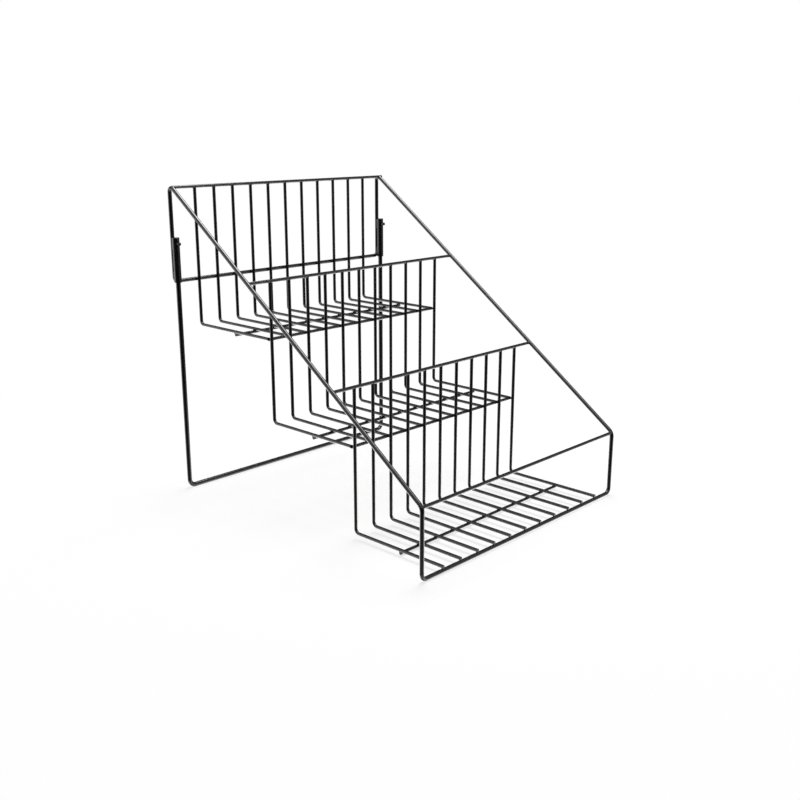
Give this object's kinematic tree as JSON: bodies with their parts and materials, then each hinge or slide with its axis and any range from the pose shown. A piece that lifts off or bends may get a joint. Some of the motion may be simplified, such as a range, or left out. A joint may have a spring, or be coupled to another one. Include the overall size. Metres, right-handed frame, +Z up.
{
  "type": "wire display rack",
  "caption": "Sloped, tiered wire counter rack with open shelf bins, a front lip rail and a U-shaped rear wire leg clamped in sleeves.",
  "frame": {"origin": "on the counter, under the middle of the rack", "axes": "+X to the shopper's right, +Y from the shopper to the back, +Z up"},
  "size_m": [0.4112, 0.4746, 0.4354],
  "materials": {
    "frame_coating": "semi-gloss black powder coat",
    "wire_coating": "semi-gloss black powder coat",
    "leg_coating": "semi-gloss black powder coat",
    "sleeve_coating": "semi-gloss black powder coat",
    "screw_black": "blackened steel"
  },
  "bodies": {
    "rack": {"frame_wire": "frame_coating", "lip_rail": "wire_coating", "bottom_back_rail": "wire_coating", "bottom_cross_wire": "wire_coating", "bottom_shelf_wire_01": "wire_coating", "bottom_shelf_wire_02": "wire_coating", "bottom_shelf_wire_03": "wire_coating", "bottom_shelf_wire_04": "wire_coating", "bottom_shelf_wire_05": "wire_coating", "bottom_shelf_wire_06": "wire_coating", "bottom_shelf_wire_07": "wire_coating", "bottom_shelf_wire_08": "wire_coating", "bottom_shelf_wire_09": "wire_coating", "bottom_shelf_wire_10": "wire_coating", "bottom_shelf_wire_11": "wire_coating", "middle_back_rail": "wire_coating", "middle_cross_wire": "wire_coating", "middle_front_rail": "wire_coating", "middle_shelf_wire_01": "wire_coating", "middle_shelf_wire_02": "wire_coating", "middle_shelf_wire_03": "wire_coating", "middle_shelf_wire_04": "wire_coating", "middle_shelf_wire_05": "wire_coating", "middle_shelf_wire_06": "wire_coating", "middle_shelf_wire_07": "wire_coating", "middle_shelf_wire_08": "wire_coating", "middle_shelf_wire_09": "wire_coating", "middle_shelf_wire_10": "wire_coating", "middle_shelf_wire_11": "wire_coating", "top_back_rail": "wire_coating", "top_cross_wire": "wire_coating", "top_front_rail": "wire_coating", "top_shelf_wire_01": "wire_coating", "top_shelf_wire_02": "wire_coating", "top_shelf_wire_03": "wire_coating", "top_shelf_wire_04": "wire_coating", "top_shelf_wire_05": "wire_coating", "top_shelf_wire_06": "wire_coating", "top_shelf_wire_07": "wire_coating", "top_shelf_wire_08": "wire_coating", "top_shelf_wire_09": "wire_coating", "top_shelf_wire_10": "wire_coating", "top_shelf_wire_11": "wire_coating", "left_leg_sleeve": "sleeve_coating", "right_leg_sleeve": "sleeve_coating"},
    "leg": {"rear_leg": "leg_coating"},
    "left_screw": {"left_clamp_screw": "screw_black"},
    "right_screw": {"right_clamp_screw": "screw_black"}
  },
  "joints": [
    {"name": "leg_slide", "type": "slide", "parent": "rack", "child": "leg", "axis": [0, 0, -1], "range_m": [0, 0.055]},
    {"name": "left_screw_turn", "type": "hinge", "parent": "rack", "child": "left_screw", "pos_m": [-0.2, 0.22165, 0.35725], "axis": [0, -1, 0], "range_deg": [0, 720]},
    {"name": "right_screw_turn", "type": "hinge", "parent": "rack", "child": "right_screw", "pos_m": [0.2, 0.22165, 0.35725], "axis": [0, -1, 0], "range_deg": [0, 720]}
  ]
}
